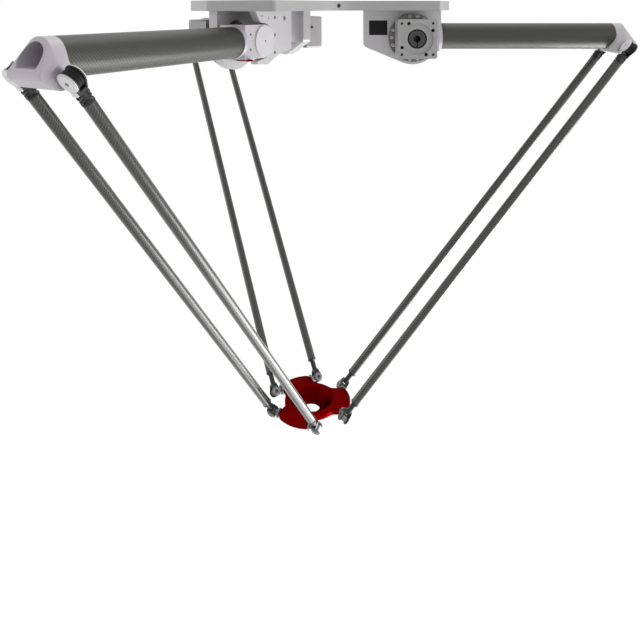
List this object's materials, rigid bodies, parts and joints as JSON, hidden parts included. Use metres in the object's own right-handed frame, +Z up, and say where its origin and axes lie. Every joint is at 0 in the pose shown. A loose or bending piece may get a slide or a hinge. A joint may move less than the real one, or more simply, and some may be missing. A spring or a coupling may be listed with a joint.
{
  "type": "delta robot",
  "caption": "Ceiling-hung parallel robot: geared shoulders on a lobed plate drive tubular arms, whose paired rods carry a round tool platform.",
  "frame": {"origin": "centre of the ring of frame bolts, on the base plate's top face", "axes": "+Z up into the machine frame, +X along arm b; arms a and c stand at -120 and +120 degrees about +Z"},
  "size_m": [0.8768, 1.002, 0.7118],
  "materials": {
    "plate": "fine-milled, lightly blasted aluminium",
    "bracket": "fine-milled, lightly blasted aluminium",
    "gear": "ground steel",
    "seat": "machined aluminium",
    "clamp": "turned steel",
    "casting": "blasted cast aluminium with milled faces",
    "cover": "turned aluminium",
    "tube": "carbon fibre tube under clear lacquer",
    "rod": "carbon fibre rod under clear lacquer",
    "steel": "ground steel",
    "fork": "black anodised aluminium",
    "joint": "turned aluminium",
    "low_joint": "black anodised fork on a turned light cross",
    "platform": "dark red anodised, satin"
  },
  "bodies": {
    "base": {"base_plate": "plate", "bracket_a": "bracket", "gearbox_a": "gear", "motor_seat_a": "seat", "bracket_b": "bracket", "gearbox_b": "gear", "motor_seat_b": "seat", "bracket_c": "bracket", "gearbox_c": "gear", "motor_seat_c": "seat"},
    "clamp_a": {"clamp_hub_a": "clamp"},
    "arm_a": {"output_flange_a": "gear", "arm_hub_a": "casting", "hub_cover_a": "cover", "arm_tube_a": "tube", "elbow_a": "casting", "elbow_shaft_a": "steel"},
    "rods_a1": {"rod_a1": "rod", "top_fork_a1": "fork", "top_cross_a1": "joint", "low_joint_a1": "low_joint"},
    "rods_a2": {"rod_a2": "rod", "top_fork_a2": "fork", "top_cross_a2": "joint", "low_joint_a2": "low_joint"},
    "clamp_b": {"clamp_hub_b": "clamp"},
    "arm_b": {"output_flange_b": "gear", "arm_hub_b": "casting", "hub_cover_b": "cover", "arm_tube_b": "tube", "elbow_b": "casting", "elbow_shaft_b": "steel"},
    "rods_b1": {"rod_b1": "rod", "top_fork_b1": "fork", "top_cross_b1": "joint", "low_joint_b1": "low_joint"},
    "rods_b2": {"rod_b2": "rod", "top_fork_b2": "fork", "top_cross_b2": "joint", "low_joint_b2": "low_joint"},
    "clamp_c": {"clamp_hub_c": "clamp"},
    "arm_c": {"output_flange_c": "gear", "arm_hub_c": "casting", "hub_cover_c": "cover", "arm_tube_c": "tube", "elbow_c": "casting", "elbow_shaft_c": "steel"},
    "rods_c1": {"rod_c1": "rod", "top_fork_c1": "fork", "top_cross_c1": "joint", "low_joint_c1": "low_joint"},
    "rods_c2": {"rod_c2": "rod", "top_fork_c2": "fork", "top_cross_c2": "joint", "low_joint_c2": "low_joint"},
    "platform": {"platform": "platform", "axle_a": "steel", "axle_b": "steel", "axle_c": "steel"}
  },
  "joints": [
    {"name": "shoulder_a", "type": "hinge", "parent": "base", "child": "arm_a", "pos_m": [-0.0845, -0.14636, -0.0605], "axis": [0.866, -0.5, 0], "range_deg": [-10, 10]},
    {"name": "shoulder_b", "type": "hinge", "parent": "base", "child": "arm_b", "pos_m": [0.169, 0, -0.0605], "axis": [0, 1, 0], "range_deg": [-10, 10]},
    {"name": "shoulder_c", "type": "hinge", "parent": "base", "child": "arm_c", "pos_m": [-0.0845, 0.14636, -0.0605], "axis": [-0.866, -0.5, 0], "range_deg": [-10, 10]},
    {"name": "motor_a", "type": "hinge", "parent": "base", "child": "clamp_a", "pos_m": [-0.14339, -0.11236, -0.0605], "axis": [0.866, -0.5, 0], "range_deg": [-331, 331]},
    {"name": "elbow_a1", "type": "hinge", "parent": "arm_a", "child": "rods_a1", "pos_m": [-0.22886, -0.4828, -0.0787], "axis": [0.866, -0.5, 0], "range_deg": [-10.5, 10.5]},
    {"name": "elbow_a2", "type": "hinge", "parent": "arm_a", "child": "rods_a2", "pos_m": [-0.30368, -0.4396, -0.0787], "axis": [0.866, -0.5, 0], "range_deg": [-10.5, 10.5]},
    {"name": "motor_b", "type": "hinge", "parent": "base", "child": "clamp_b", "pos_m": [0.169, -0.068, -0.0605], "axis": [0, 1, 0], "range_deg": [-331, 331]},
    {"name": "elbow_b1", "type": "hinge", "parent": "arm_b", "child": "rods_b1", "pos_m": [0.53255, 0.0432, -0.0787], "axis": [0, 1, 0], "range_deg": [-10.5, 10.5]},
    {"name": "elbow_b2", "type": "hinge", "parent": "arm_b", "child": "rods_b2", "pos_m": [0.53255, -0.0432, -0.0787], "axis": [0, 1, 0], "range_deg": [-10.5, 10.5]},
    {"name": "motor_c", "type": "hinge", "parent": "base", "child": "clamp_c", "pos_m": [-0.02561, 0.18036, -0.0605], "axis": [-0.866, -0.5, 0], "range_deg": [-331, 331]},
    {"name": "elbow_c1", "type": "hinge", "parent": "arm_c", "child": "rods_c1", "pos_m": [-0.30368, 0.4396, -0.0787], "axis": [-0.866, -0.5, 0], "range_deg": [-10.5, 10.5]},
    {"name": "elbow_c2", "type": "hinge", "parent": "arm_c", "child": "rods_c2", "pos_m": [-0.22886, 0.4828, -0.0787], "axis": [-0.866, -0.5, 0], "range_deg": [-10.5, 10.5]},
    {"name": "platform_travel", "type": "slide", "parent": "base", "child": "platform", "axis": [0, 0, -1], "range_m": [-0.066, 0.066]}
  ],
  "couplings": [
    {"joint": "shoulder_b", "follows": "shoulder_a", "ratio": 1},
    {"joint": "shoulder_c", "follows": "shoulder_a", "ratio": 1},
    {"joint": "motor_a", "follows": "shoulder_a", "ratio": 33},
    {"joint": "elbow_a1", "follows": "shoulder_a", "ratio": -1.0294},
    {"joint": "elbow_a2", "follows": "shoulder_a", "ratio": -1.0294},
    {"joint": "motor_b", "follows": "shoulder_a", "ratio": 33},
    {"joint": "elbow_b1", "follows": "shoulder_a", "ratio": -1.0294},
    {"joint": "elbow_b2", "follows": "shoulder_a", "ratio": -1.0294},
    {"joint": "motor_c", "follows": "shoulder_a", "ratio": 33},
    {"joint": "elbow_c1", "follows": "shoulder_a", "ratio": -1.0294},
    {"joint": "elbow_c2", "follows": "shoulder_a", "ratio": -1.0294},
    {"joint": "platform_travel", "follows": "shoulder_a", "m_per_rad": 0.3756}
  ]
}
